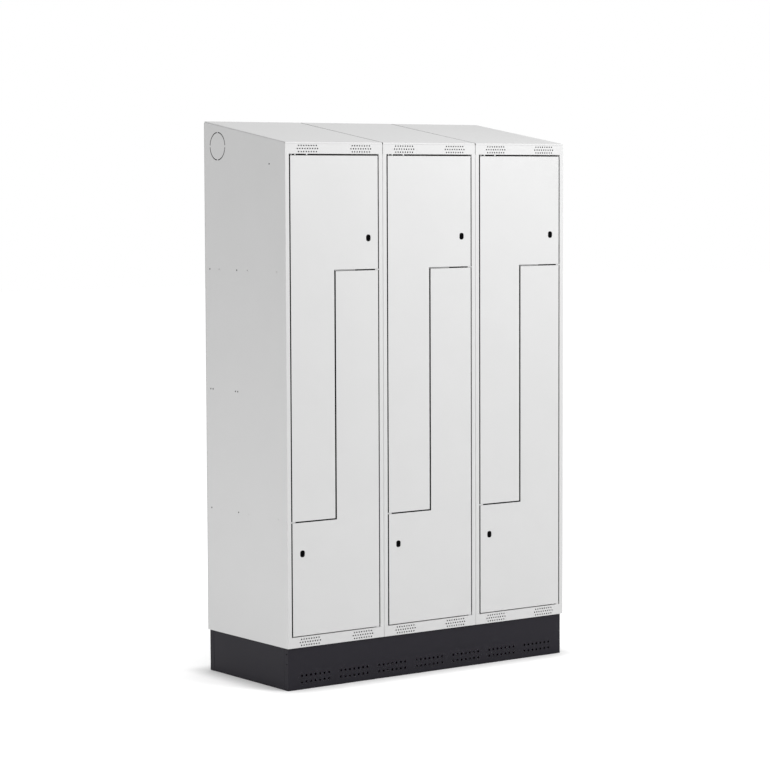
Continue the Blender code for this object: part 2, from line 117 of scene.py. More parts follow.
def feed(node, inputs):
    """Gives each input its value, or the socket that feeds it."""
    for name, value in inputs.items():
        if isinstance(value, bpy.types.NodeSocket):
            node.id_data.links.new(value, node.inputs[name])
        else:
            node.inputs[name].default_value = value


def add(tree, kind, settings, inputs):
    """Adds a node with its settings and inputs."""
    node = tree.nodes.new(kind)
    for name, value in settings.items():
        setattr(node, name, value)
    feed(node, inputs)
    return node


def bare_finish(name):
    """A new material: itself, its nodes, its shader and the place on the piece."""
    made = bpy.data.materials.new(name)
    made.use_nodes = True
    tree = made.node_tree
    place = add(tree, "ShaderNodeTexCoord", {}, {}).outputs["Object"]
    return made, tree, tree.nodes["Principled BSDF"], place


def powder_coat(name, code, roughness, specular):
    """Baked polyester powder: a soft gloss over a fine orange peel, on a slightly uneven film.

    The peel of such a coat is about 1 mm across; it is drawn 3 mm wide so that it shows.
    """
    made, tree, shader, place = bare_finish(name)
    film = add(tree, "ShaderNodeTexNoise", {}, {"Vector": place, "Scale": 1 / film_patch, "Detail": 3})
    tones = {"Factor": film.outputs["Fac"], 6: linear(code, 1 - film_swing), 7: linear(code, 1 + film_swing)}
    tone = add(tree, "ShaderNodeMix", {"data_type": "RGBA"}, tones)
    span = {"To Min": roughness - roughness_swing, "To Max": roughness + roughness_swing}
    gloss = add(tree, "ShaderNodeMapRange", {}, {"Value": film.outputs["Fac"], **span})
    peel = add(tree, "ShaderNodeTexNoise", {}, {"Vector": place, "Scale": 1 / peel_size, "Detail": 2})
    bump = add(tree, "ShaderNodeBump", {}, {"Height": peel.outputs["Fac"], "Distance": peel_height})
    feed(shader, {"Base Color": tone.outputs[2], "Roughness": gloss.outputs["Result"]})
    feed(shader, {"Normal": bump.outputs["Normal"], "Specular IOR Level": specular})
    return made


def only(kind, geom):
    """The vertices, edges or faces in a list of all three."""
    return [item for item in geom if isinstance(item, kind)]


def push(bm, geom, move):
    """Extrudes a face or edges, moves what is new and returns it."""
    if isinstance(geom[0], bmesh.types.BMFace):
        made = bmesh.ops.extrude_face_region(bm, geom=geom)["geom"]
    else:
        made = bmesh.ops.extrude_edge_only(bm, edges=geom)["geom"]
    bmesh.ops.translate(bm, verts=only(bmesh.types.BMVert, made), vec=move)
    return made


def bend(bm, geom, radius, segments, affect="EDGES"):
    """Rounds edges as a press brake does, or corners as a punch does."""
    bmesh.ops.bevel(
        bm,
        geom=geom,
        offset=radius,
        offset_type="OFFSET",
        affect=affect,
        segments=segments,
        profile=0.5,
        material=-1,
    )


def folded_sheet(path, start, end, along):
    """Open sheet whose outer face runs along the path, with round folds, pushed along an axis."""
    bm = bmesh.new()
    corners = []
    for across in path:
        place = list(across)
        place.insert(along, start)
        corners.append(bm.verts.new(place))
    run = [0, 0, 0]
    run[along] = end - start
    push(bm, [bm.edges.new(pair) for pair in zip(corners, corners[1:])], run)
    bend(bm, [e for e in bm.edges if len(e.link_faces) == 2], fold_radius, fold_segments)
    bmesh.ops.recalc_face_normals(bm, faces=bm.faces)
    return bm


def block(corner, opposite, rounding=0):
    """Box between two corners, with its edges a little rounded."""
    bm = bmesh.new()
    bmesh.ops.create_cube(bm, size=1)
    bmesh.ops.scale(bm, verts=bm.verts, vec=[abs(b - a) for a, b in zip(corner, opposite)])
    bmesh.ops.translate(bm, verts=bm.verts, vec=[(a + b) / 2 for a, b in zip(corner, opposite)])
    if rounding:
        bend(bm, bm.edges[:], rounding, edge_segments)
    return bm


def slope_up(bm, depth, height):
    """Slopes a level shape as the roof does, from a height that it has at one depth."""
    lift = Matrix.Identity(4)
    lift[2][1] = roof_slope
    lift[2][3] = height - depth * roof_slope
    bmesh.ops.transform(bm, matrix=lift, verts=bm.verts)


def joined(*shapes):
    """One bmesh of several."""
    whole = bmesh.new()
    for shape in shapes:
        mesh = bpy.data.meshes.new("shape")
        shape.to_mesh(mesh)
        shape.free()
        whole.from_mesh(mesh)
        bpy.data.meshes.remove(mesh)
    return whole


def holed(blank, tool):
    """The shape of one bmesh less another."""
    pair = []
    for shape in (blank, tool):
        bmesh.ops.recalc_face_normals(shape, faces=shape.faces)
        mesh = bpy.data.meshes.new("shape")
        shape.to_mesh(mesh)
        shape.free()
        pair.append(bpy.data.objects.new("shape", mesh))
        bpy.context.scene.collection.objects.link(pair[-1])
    cut = pair[0].modifiers.new("cut", "BOOLEAN")
    cut.object = pair[1]
    cut.solver = "EXACT"
    evaluated = pair[0].evaluated_get(bpy.context.evaluated_depsgraph_get())
    left = bmesh.new()
    left.from_mesh(evaluated.to_mesh())
    evaluated.to_mesh_clear()
    for obj in pair:
        mesh = obj.data
        bpy.data.objects.remove(obj)
        bpy.data.meshes.remove(mesh)
    return left


def cylinder(bm, centre, radius, length, axis, sides):
    """Adds a closed cylinder about a point, along an axis."""
    turn = Vector((0, 0, 1)).rotation_difference(Vector(axis)).to_matrix().to_4x4()
    bmesh.ops.create_cone(
        bm,
        cap_ends=True,
        segments=sides,
        radius1=radius,
        radius2=radius,
        depth=length,
        matrix=Matrix.Translation(centre) @ turn,
    )


def drill(bm, centre, radius, axis):
    """Adds a cutter for a hole through the sheet at a point."""
    cylinder(bm, centre, radius, 2 * overrun, axis, hole_sides)


def on_side(hand, column, row):
    """Depth and height of a hole in an outer side; the right side is the left one turned round."""
    return cad_high.y - column, turn_height + hand * (turn_height - row)


def vent_cutter(bm, x):
    """Adds the arcs that free a knock-out but for its tabs."""
    middle = Vector((x, cad_high.y - vent_centre[0], vent_centre[1]))
    span = 2 * math.pi / vent_arcs
    margin = vent_tab / vent_radius / 2
    for arc in range(vent_arcs):
        start = Matrix.Rotation(arc * span + margin, 3, "X")
        spots = []
        for reach in (vent_radius - vent_slot / 2, vent_radius + vent_slot / 2):
            for side in (-overrun, overrun):
                spots.append(middle + start @ Vector((side, reach, 0)))
        face = bm.faces.new([bm.verts.new(spots[i]) for i in (0, 1, 3, 2)])
        bmesh.ops.spin(
            bm,
            geom=[face],
            cent=middle,
            axis=(1, 0, 0),
            angle=span - 2 * margin,
            steps=vent_arc_steps,
        )


def finish(name, bm, material, body, slot, *nodes):
    """Makes a bmesh a piece that rides on its body and stands for the nodes named."""
    bmesh.ops.recalc_face_normals(bm, faces=bm.faces)
    mesh = bpy.data.meshes.new(name)
    bm.to_mesh(mesh)
    bm.free()
    mesh.materials.append(material)
    mesh.shade_smooth()
    mesh.set_sharp_from_angle(angle=crease)
    made = bpy.data.objects.new(name, mesh)
    bpy.context.scene.collection.objects.link(made)
    weighted = made.modifiers.new("flat faces stay flat", "WEIGHTED_NORMAL")
    weighted.keep_sharp = True
    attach(made, body)
    if nodes:
        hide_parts(*nodes)


bolt_holes = [(column, row) for column in hole_columns for row in (upper_row, lower_row)]
bolt_holes += [(column, middle_row) for column in paired_columns]
rivet_holes = [(column, row) for column in rivet_columns for row in (upper_row, lower_row)]
coat = powder_coat("light grey powder coat", light_grey, coat_roughness, coat_specular)
for number in modules:
    for side, hand in (("left", -1), ("right", 1)):
        node = f"{side}_side_{number}"
        low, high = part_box(node)
        outer, inner = (low.x, high.x) if hand < 0 else (high.x, low.x)
        route = [
            (inner, low.y + stile_return),
            (inner, low.y),
            (outer, low.y),
            (outer, high.y),
            (outer - hand * rear_flange, high.y),
        ]
        panel = folded_sheet(route, low.z, high.z + overrun, 2)
        bmesh.ops.bisect_plane(
            panel,
            geom=panel.verts[:] + panel.edges[:] + panel.faces[:],
            plane_co=high,
            plane_no=(0, -roof_rise, cad_high.y - cad_low.y),
            clear_outer=True,
        )
        bmesh.ops.solidify(panel, geom=panel.faces, thickness=sheet)
        if node in ("left_side_1", "right_side_3"):
            tool = bmesh.new()
            for spots, radius in ((bolt_holes, hole_radius), (rivet_holes, rivet_hole_radius)):
                for spot in spots:
                    drill(tool, (outer, *on_side(hand, *spot)), radius, (1, 0, 0))
            drill(tool, (outer, cad_high.y - hanging_hole[0], hanging_hole[1]), hole_radius, (1, 0, 0))
            vent_cutter(tool, outer)
            panel = holed(panel, tool)
        run_up = block(
            (outer, low.y + wall_rise_from, 0),
            (outer - hand * sheet, high.y - wall_rise_from, wall_rise),
        )
        slope_up(run_up, high.y, high.z)
        finish(f"{node}_panel", joined(panel, run_up), coat, "carcass", "side_paint", node)

# Back sheets
# A flat sheet of steel closes each module from behind. It lies on the rear flanges of the sides, where it
# is spot welded, and it is coated with them.


def coated(name, material):
    """Gives a plain sheet or board, whose solid is shown as it is, its coat."""
    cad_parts[name].data.materials.clear()
    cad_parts[name].data.materials.append(material)


for number in modules:
    coated(f"back_{number}", coat)

# Roof trays
# Each module has its own sloping lid of the same sheet, with short folded edges that stand on the sides,
# the fascia and the back. Its folds are rounder than the others, and catch the light as a pale rim.

roof_edge = 0.006
roof_fold = 0.003
roof_segments = 6


def pan(low, high, turn, skirt, radius, segments, thickness):
    """Sheet that fills a flat box, turned to face its way, with an edge folded from it all round."""
    bm = bmesh.new()
    bmesh.ops.create_grid(bm, x_segments=1, y_segments=1, size=0.5)
    bmesh.ops.rotate(bm, cent=(0, 0, 0), matrix=Matrix.Rotation(turn, 3, "X"), verts=bm.verts)
    bmesh.ops.scale(bm, vec=[b - a for a, b in zip(low, high)], verts=bm.verts)
    bmesh.ops.translate(bm, vec=[(a + b) / 2 for a, b in zip(low, high)], verts=bm.verts)
    rim = bm.edges[:]
    push(bm, rim, skirt)
    bend(bm, rim, radius, segments)
    bmesh.ops.recalc_face_normals(bm, faces=bm.faces)
    bmesh.ops.solidify(bm, geom=bm.faces, thickness=thickness)
    return bm


for number in modules:
    low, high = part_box(f"roof_{number}")
    corners = ((low.x, low.y, low.z + roof_edge), (high.x, high.y, low.z + roof_edge))
    tray = pan(*corners, 0, (0, 0, -roof_edge), roof_fold, roof_segments, sheet)
    slope_up(tray, low.y, 0)
    # The slope lifts the rear edge a little, so the tray sinks back to its height
    sink = min(0, high.z - max(v.co.z for v in tray.verts))
    bmesh.ops.translate(tray, vec=(0, 0, sink), verts=tray.verts)
    finish(f"roof_tray_{number}", tray, coat, "carcass", "roof_paint", f"roof_{number}")

# Roof joints
# A black rubber strip lies between two neighbouring trays as painted shade for the seam between the
# modules. It lies in the groove of the round folds and shows as a dark line, and it turns down between
# the fascias.

joint_section = ((0.0037, 0.00025), (0.0026, 0.0010), (0.0020, 0.0020), (0.00185, 0.0032))
joint_front = ((0.0018, 0.0010), (0.00078, 0.0004))
joint_depth = 0.003
joint_setback = 0.004
shade_rubber_black = "#060606"
rubber_roughness = 0.8
rubber_specular = 0.03
bloom_size = 0.004
bloom_share = 1.5


def soft_rubber(name, code, roughness, specular):
    """Extruded EPDM: dull black, with a faint bloom that is drawn 4 mm wide."""
    made, tree, shader, place = bare_finish(name)
    bloom = add(tree, "ShaderNodeTexNoise", {}, {"Vector": place, "Scale": 1 / bloom_size, "Detail": 3})
    tones = {"Factor": bloom.outputs["Fac"], 6: linear(code), 7: linear(code, bloom_share)}
    tone = add(tree, "ShaderNodeMix", {"data_type": "RGBA"}, tones)
    feed(shader, {"Base Color": tone.outputs[2], "Roughness": roughness, "Specular IOR Level": specular})
    return made


# This black rubber is laid into seams, gaps and slots as painted shade: its black stands for the shade there
rubber = soft_rubber("black rubber laid in as painted shade", shade_rubber_black, rubber_roughness, rubber_specular)
for number in modules[1:]:
    seam = (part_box(f"roof_{number - 1}")[1].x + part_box(f"roof_{number}")[0].x) / 2
    low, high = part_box(f"roof_{number}")
    start, end = low.y + joint_setback, high.y - joint_setback
    top = high.z + roof_slope * (start - high.y)
    right = [(seam + across, start, top - drop) for across, drop in joint_section]
    left = [(seam - across, start, top - drop) for across, drop in reversed(joint_section)]
    strip = bmesh.new()
    face = strip.faces.new([strip.verts.new(spot) for spot in right + left])
    push(strip, [face], (0, end - start, roof_slope * (end - start)))
    parts = [strip]
    levels = (low.z + roof_edge - roof_fold / 2, low.z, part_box(f"top_fascia_{number}")[0].z)
    for (half, recess), upper, lower in zip(joint_front, levels, levels[1:]):
        near = low.y + recess
        parts.append(block((seam - half, near, lower), (seam + half, near + joint_depth, upper)))
    finish(f"roof_shade_joint_{number - 1}", joined(*parts), rubber, "carcass", "lock_cap_plastic")

# Floor sheets
# The bottom of each module is a flat sheet of steel, spot welded between the sides and coated like them.
# The lower compartment's things stand on it.

for number in modules:
    coated(f"floor_{number}", coat)

# Fascias
# A rail above and one below the doors join the stiles. Each has two punched groups of air holes in three
# staggered rows, and its edge beside the doors is folded back. Its ends are welded over the stiles' folds
# and ground flush.

front_height = 1.840
fascia_return = 0.020
weld_overlap = 0.0018
vent_hole_radius = 0.0027
vent_hole_pitch = 0.0102
vent_rows = (8, 9, 8)
vent_group_offset = 0.109
top_vents_below = 0.0224
bottom_vents_above = 0.0175
pin_hole_radius = 0.0043
pivot_inset = 0.0176
pivot_depth = 0.009


def spread(count, pitch, middle):
    """Even places on both sides of a middle."""
    return [middle + (i - (count - 1) / 2) * pitch for i in range(count)]


for number in modules:
    middle_x = (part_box(f"roof_{number}")[0].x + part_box(f"roof_{number}")[1].x) / 2
    for place, hole_height in (
        ("top", cad_low.z + front_height - top_vents_below),
        ("bottom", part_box(f"bottom_fascia_{number}")[0].z + bottom_vents_above),
    ):
        node = f"{place}_fascia_{number}"
        low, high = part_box(node)
        edge, far = (low.z, high.z) if place == "top" else (high.z, low.z)
        route = [(low.y + fascia_return, edge), (low.y, edge), (low.y, far)]
        rail = folded_sheet(route, low.x - weld_overlap, high.x + weld_overlap, 0)
        bmesh.ops.solidify(rail, geom=rail.faces, thickness=sheet)
        tool = bmesh.new()
        for group in (-vent_group_offset, vent_group_offset):
            for row, height in zip(vent_rows, spread(len(vent_rows), vent_hole_pitch, hole_height)):
                for x in spread(row, vent_hole_pitch, middle_x + group):
                    drill(tool, (x, low.y, height), vent_hole_radius, (0, 1, 0))
        if place == "top":
            pin_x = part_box(f"upper_door_{number}")[0].x + pivot_inset
            drill(tool, (pin_x, low.y + pivot_depth, edge), pin_hole_radius, (0, 0, 1))
        finish(f"{place}_rail_{number}", holed(rail, tool), coat, "carcass", "fascia_paint", node)

# Z partitions
# The shelf of the upper compartment, the upright and the shelf of the lower one are folded from one
# sheet and coated like the rest. Welded angle strips stiffen the front edges, and the upper shelf has a
# hemmed nose that fills the gap between the doors.

bond = 0.00005
partition_setback = 0.0308
shelf_flange = 0.015
strip_lip = 0.012
strip_leg = 0.014
nose_start = -0.001
nose_end = 0.087
nose_thickness = 0.002
nose_corner = 0.004
hem_rounding = 0.0008


def thick_sheet(path, start, end, along, facing, thickness):
    """Folded sheet whose widest face that lies across a direction looks along it, solid behind the path."""
    bm = folded_sheet(path, start, end, along)
    widest = max(bm.faces, key=lambda f: f.calc_area() * abs(f.normal.dot(Vector(facing))))
    if widest.normal.dot(Vector(facing)) < 0:
        bmesh.ops.reverse_faces(bm, faces=bm.faces)
    bmesh.ops.solidify(bm, geom=bm.faces, thickness=thickness)
    return bm


def ease(bm, radius, segments):
    """Rounds every sharp edge."""
    bend(bm, [e for e in bm.edges if e.calc_face_angle(0) > crease], radius, segments)


for number in modules:
    node = f"z_partition_{number}"
    low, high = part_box(node)
    middle_x = (low.x + high.x) / 2
    low_top = low.z + sheet
    high_top = high.z - (nose_thickness - sheet) / 2
    front = cad_low.y + partition_setback
    route = [
        (high.x, high_top - shelf_flange),
        (high.x, high_top),
        (middle_x - sheet / 2, high_top),
        (middle_x - sheet / 2, low_top),
        (low.x + sheet, low_top),
        (low.x + sheet, low_top + shelf_flange),
    ]
    shelves = thick_sheet(route, front, high.y, 1, (0, 0, 1), sheet)
    for outer_module, hand, outer in ((1, -1, low.x), (3, 1, high.x)):
        if outer_module == number:
            tool = bmesh.new()
            for column in hole_columns:
                drill(tool, (outer, *on_side(hand, column, lower_row)), hole_radius, (1, 0, 0))
            shelves = holed(shelves, tool)
    under, over = high_top - sheet - bond, low_top + bond
    beside = middle_x + sheet / 2 + bond
    reach = front + strip_leg
    route = [(reach, under), (front, under), (front, under - strip_lip)]
    high_strip = thick_sheet(route, middle_x + strip_lip, high.x - strip_leg, 0, (0, 0, 1), sheet)
    route = [(reach, over), (front, over), (front, over + strip_lip)]
    low_strip = thick_sheet(route, low.x + strip_leg, middle_x - strip_lip, 0, (0, 0, -1), sheet)
    route = [(beside, reach), (beside, front), (beside + strip_lip, front)]
    tall_strip = thick_sheet(route, low_top + strip_lip, high_top - 2 * strip_lip, 2, (-1, 0, 0), sheet)
    nose = block(
        (middle_x + nose_start, low.y, high.z - nose_thickness),
        (middle_x + nose_end, front + sheet, high.z),
    )
    # The nose's two front corners are round in plan, and all its edges are hemmed
    tips = [e for e in nose.edges if all(v.co.y < low.y + overrun for v in e.verts)]
    tips = [e for e in tips if abs(e.verts[0].co.z - e.verts[1].co.z) > sheet]
    bend(nose, tips, nose_corner, fold_segments)
    ease(nose, hem_rounding, edge_segments)
    whole = joined(shelves, high_strip, low_strip, tall_strip, nose)
    finish(f"folded_{node}", whole, coat, "carcass", "partition_paint", node)

# Doors
# A door is an L-shaped skin of 1 mm sheet on a folded frame, which is set in from the skin's edge so that
# the gaps round it look dark. The lower door is the upper one turned half round, and the pair closes into
# a Z. Both are coated like the body.

door_lip = 0.010
skin_overhang = 0.003
skin_rounding = 0.0004
skin_segments = 3
skin_trim = 0.0003
upright_trim = 0.0008
block_height = 0.3835
split_gap = 0.004
lock_width = 0.019
lock_height = 0.0235
lock_corner = 0.0078
lock_segments = 8
lock_from_edge = 0.0404
lock_from_split = 0.1055


def rounded_plate(bm, centre, width, height, corner):
    """Adds a flat plate with round corners that faces the front."""
    spots = [(-width, -height), (width, -height), (width, height), (-width, height)]
    corners = [bm.verts.new(centre + Vector((x / 2, 0, z / 2))) for x, z in spots]
    bm.faces.new(corners)
    bend(bm, corners, corner, lock_segments, "VERTICES")


def inner_face(bm, face, distance):
    """Insets a flat face, and returns the ring of faces that is left round it."""
    bm.normal_update()
    return bmesh.ops.inset_region(
        bm,
        faces=[face],
        thickness=distance,
        use_even_offset=True,
        use_boundary=True,
    )["faces"]


def door_outline(bm, low, high, turn, depth, reach=0, upright=0):
    """Adds a door's L as a face at a depth behind its front; a turn of -1 stands it on its head.

    It is drawn larger by a reach all round, and cut short by another at the upright split alone.
    """
    across, up = (high.x - low.x) / 2 + reach, (high.z - low.z) / 2 + reach
    x, z = reach - split_gap / 2 - upright, up - 2 * reach - block_height
    spots = [(-across, -up), (x, -up), (x, z), (across, z), (across, up), (-across, up)]
    centre = Vector(((low.x + high.x) / 2, low.y + depth, (low.z + high.z) / 2))
    return bm.faces.new([bm.verts.new(centre + turn * Vector((x, 0, z))) for x, z in spots])


for number in modules:
    for which, turn in (("upper", 1), ("lower", -1)):
        node = f"{which}_door_{number}"
        low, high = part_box(node)
        across, up = (high.x - low.x) / 2, (high.z - low.z) / 2
        centre = Vector(((low.x + high.x) / 2, low.y, (low.z + high.z) / 2))
        # The skin, with its front edges a little rounded. A thin dark line comes out paler in the picture
        # than it is, so the skin is cut short all round, and more at the upright split.
        skin = bmesh.new()
        push(skin, [door_outline(skin, low, high, turn, sheet, -skin_trim, upright_trim)], (0, -sheet, 0))
        rim = [e for e in skin.edges if all(v.co.y < low.y + sheet / 2 for v in e.verts)]
        bend(skin, rim, skin_rounding, skin_segments)
        # The frame behind it, a wall and a lip all round
        behind = bmesh.new()
        face = door_outline(behind, low, high, turn, sheet + bond)
        bmesh.ops.delete(behind, geom=inner_face(behind, face, skin_overhang), context="FACES")
        made = push(behind, [face], (0, high.y - low.y - sheet - bond, 0))
        cover = only(bmesh.types.BMFace, made)[0]
        bmesh.ops.delete(behind, geom=[face], context="FACES_ONLY")
        folds = cover.edges[:]
        inner_face(behind, cover, door_lip)
        bmesh.ops.delete(behind, geom=[cover], context="FACES_ONLY")
        bend(behind, folds, fold_radius, fold_segments)
        bmesh.ops.recalc_face_normals(behind, faces=behind.faces)
        bmesh.ops.solidify(behind, geom=behind.faces, thickness=sheet)
        # The lock opening, and the two holes for the pins
        tool = bmesh.new()
        lock = centre + turn * Vector((across - lock_from_edge, 0, up - block_height + lock_from_split))
        lock.y = low.y - overrun
        rounded_plate(tool, lock, lock_width, lock_height, lock_corner)
        push(tool, tool.faces[:], (0, 2 * overrun, 0))
        for end in (-1, 1):
            pin = centre + turn * Vector((pivot_inset - across, 0, end * (up - skin_overhang)))
            pin.y = low.y + pivot_depth
            drill(tool, pin, pin_hole_radius, (0, 0, 1))
        leaf = holed(joined(skin, behind), tool)
        finish(f"{which}_leaf_{number}", leaf, coat, node, "door_paint", node)

# Door seals
# Black rubber strips in the gaps round the doors are painted shade. One laps the cut edge of each door's
# skin and runs on as a bead round the frame behind it, but not at the outer end and the pivots. Tapes lie
# on each stile's return and along each shelf's front, and a buffer sits beside each pivot in the splits.

seal_reach = 0.0007
seal_recess = 0.0002
seal_width = 0.006
pivot_nose = 0.0165
pivot_seal_cuts = ((0, 0.0180, 0.0030), (0.0180, 0.0460, 0.0018))
tape_thickness = 0.001
tape_rounding = 0.00025
tape_start = 0.0014
tape_width = 0.010
tape_end_gap = 0.012
shelf_tape_thickness = 0.002
shelf_tape_rounding = 0.0005
shelf_tape_from = 0.088
low_tape_from = 0.014
shelf_tape_to = 0.150
shelf_tape_drop = (0.010, 0.004)
buffer_end = 0.034
buffer_half = 0.0015
buffer_depth = (0.0006, 0.0044)


def split_ends(number):
    """Hand, stile and height of the two splits' outer ends; the low one is at the left."""
    low_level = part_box(f"lower_door_{number}")[0].z + block_height + split_gap / 2
    high_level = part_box(f"upper_door_{number}")[1].z - block_height - split_gap / 2
    left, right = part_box(f"left_side_{number}")[1].x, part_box(f"right_side_{number}")[0].x
    return (-1, left, low_level), (1, right, high_level)


for number in modules:
    for which, turn in (("upper", 1), ("lower", -1)):
        node = f"{which}_door_{number}"
        low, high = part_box(node)
        layers = []
        for start, end, inset in (
            (seal_recess, sheet, skin_trim - bond),
            (sheet, sheet + seal_width, skin_overhang),
        ):
            seal = bmesh.new()
            face = door_outline(seal, low, high, turn, start + bond, seal_reach)
            strip = inner_face(seal, face, seal_reach + inset)
            outer_end = max(strip, key=lambda f: turn * f.calc_center_median().z)
            bmesh.ops.delete(seal, geom=[face, outer_end], context="FACES_ONLY")
            push(seal, seal.faces[:], (0, end - start, 0))
            for hand, stile, level in split_ends(number):
                for near, far, reach in pivot_seal_cuts:
                    tool = block(
                        (stile - hand * near, low.y - overrun, level - reach),
                        (stile - hand * far, high.y, level + reach),
                    )
                    seal = holed(seal, tool)
            layers.append(seal)
        # The seal's black is painted shade in the gaps round the door
        finish(f"{which}_seal_{number}", joined(*layers), rubber, node, "lock_cap_plastic")
    # Black rubber tapes on the stiles and shelves, and buffers beside the pivots, are painted shade in the
    # gaps
    strips = []
    front = cad_low.y
    sill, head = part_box(f"bottom_fascia_{number}")[1].z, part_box(f"top_fascia_{number}")[0].z
    for hand, stile, level in split_ends(number):
        tape = block(
            (stile, front + tape_start, sill + tape_end_gap),
            (stile - hand * tape_thickness, front + tape_start + tape_width, head - tape_end_gap),
            tape_rounding,
        )
        strips.append(tape)
    middle_x = (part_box(f"roof_{number}")[0].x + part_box(f"roof_{number}")[1].x) / 2
    shelf_front = front + partition_setback
    for (hand, stile, level), nearest in zip(split_ends(number), (low_tape_from, shelf_tape_from)):
        tape = block(
            (middle_x + hand * nearest, shelf_front - shelf_tape_thickness, level - shelf_tape_drop[0]),
            (middle_x + hand * shelf_tape_to, shelf_front, level + shelf_tape_drop[1]),
            shelf_tape_rounding,
        )
        pad = block(
            (stile - hand * pivot_nose, front + buffer_depth[0], level - buffer_half),
            (stile - hand * buffer_end, front + buffer_depth[1], level + buffer_half),
            tape_rounding,
        )
        strips += [tape, pad]
    finish(f"carcass_shade_strips_{number}", joined(*strips), rubber, "carcass", "lock_cap_plastic")

# Lock caps
# A black moulded cap, pushed in from behind, closes each door's lock opening. Its face sits just below
# the door's, with a sunk key slot down its middle.

cap_play = 0.0003
cap_face_depth = 0.0006
cap_body_depth = 0.010
cap_rim = 0.003
cap_rim_thickness = 0.002
slot_width = 0.0030
slot_height = 0.0110
slot_depth = 0.0015
slot_corner = slot_width / 2.1
cap_black = "#020203"
cap_roughness = 0.6
cap_specular = 0.03
grain_size = 0.0006
grain_share = 1.6
grain_height = 0.00001


def moulded_plastic(name, code, roughness, specular):
    """Injection-moulded nylon: a faint spark-eroded grain, drawn 0.6 mm wide, breaks up its gloss."""
    made, tree, shader, place = bare_finish(name)
    grain = add(tree, "ShaderNodeTexNoise", {}, {"Vector": place, "Scale": 1 / grain_size, "Detail": 2})
    tones = {"Factor": grain.outputs["Fac"], 6: linear(code), 7: linear(code, grain_share)}
    tone = add(tree, "ShaderNodeMix", {"data_type": "RGBA"}, tones)
    bump = add(tree, "ShaderNodeBump", {}, {"Height": grain.outputs["Fac"], "Distance": grain_height})
    feed(shader, {"Base Color": tone.outputs[2], "Normal": bump.outputs["Normal"]})
    feed(shader, {"Roughness": roughness, "Specular IOR Level": specular})
    return made


black = moulded_plastic("black moulded nylon", cap_black, cap_roughness, cap_specular)
behind_skin = sheet - cap_face_depth + cap_play
cap_steps = (
    (-cap_play, behind_skin),
    (cap_rim, behind_skin),
    (cap_rim, behind_skin + cap_rim_thickness),
    (-cap_play, behind_skin + cap_rim_thickness),
    (-cap_play, cap_body_depth - cap_face_depth),
)
for number in modules:
    for which in ("upper", "lower"):
        node = f"{which}_lock_cap_{number}"
        low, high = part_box(node)
        centre = Vector(((low.x + high.x) / 2, low.y, (low.z + high.z) / 2))
        grown, level = -cap_play, 0
        wide, tall = lock_width + 2 * grown, lock_height + 2 * grown
        cap = bmesh.new()
        rounded_plate(cap, centre, wide, tall, lock_corner - cap_play)
        loop = cap.edges[:]
        for growth, depth in cap_steps:
            made = push(cap, loop, (0, depth - level, 0))
            ring = only(bmesh.types.BMVert, made)
            loop = [e for e in only(bmesh.types.BMEdge, made) if all(v in ring for v in e.verts)]
            wider = (lock_width + 2 * growth) / (lock_width + 2 * grown)
            taller = (lock_height + 2 * growth) / (lock_height + 2 * grown)
            bmesh.ops.scale(cap, verts=ring, vec=(wider, 1, taller), space=Matrix.Translation(-centre))
            grown, level = growth, depth
        bmesh.ops.contextual_create(cap, geom=loop)
        tool = bmesh.new()
        rounded_plate(tool, centre + Vector((0, -overrun, 0)), slot_width, slot_height, slot_corner)
        push(tool, tool.faces[:], (0, overrun + slot_depth, 0))
        body = f"{which}_door_{number}"
        finish(f"{which}_cap_{number}", holed(cap, tool), black, body, "lock_cap_plastic", node)

# Hole plugs
# Black moulded plugs, pushed in from inside, close the bolt holes that no neighbour uses in the two outer
# sides; their black is painted shade for these holes. A rubber ring fills the slots round the vent knock-out
# as painted shade.

plug_play = 0.0001
plug_recess = 0.0002
plug_length = 0.003
plug_head_radius = 0.0045
plug_head_depth = 0.0008
rod_segments = 3
vent_ring_sides = 64


def lathed(profile, centre, sides):
    """Closed profile of distances along X and radii, turned about an axis through a point."""
    bm = bmesh.new()
    ring = [bm.verts.new(centre + Vector((along, 0, radius))) for along, radius in profile]
    edges = [bm.edges.new(pair) for pair in zip(ring, ring[1:] + ring[:1])]
    bmesh.ops.spin(
        bm,
        geom=ring + edges,
        cent=centre,
        axis=(1, 0, 0),
        angle=2 * math.pi,
        steps=sides,
        use_merge=True,
    )
    bmesh.ops.recalc_face_normals(bm, faces=bm.faces)
    return bm


def rod(start, end, radius, sides, rounding):
    """Round bar between two points, with both ends a little rounded."""
    bm = bmesh.new()
    way = Vector(end) - Vector(start)
    cylinder(bm, (Vector(start) + Vector(end)) / 2, radius, way.length, way, sides)
    ease(bm, rounding, rod_segments)
    return bm


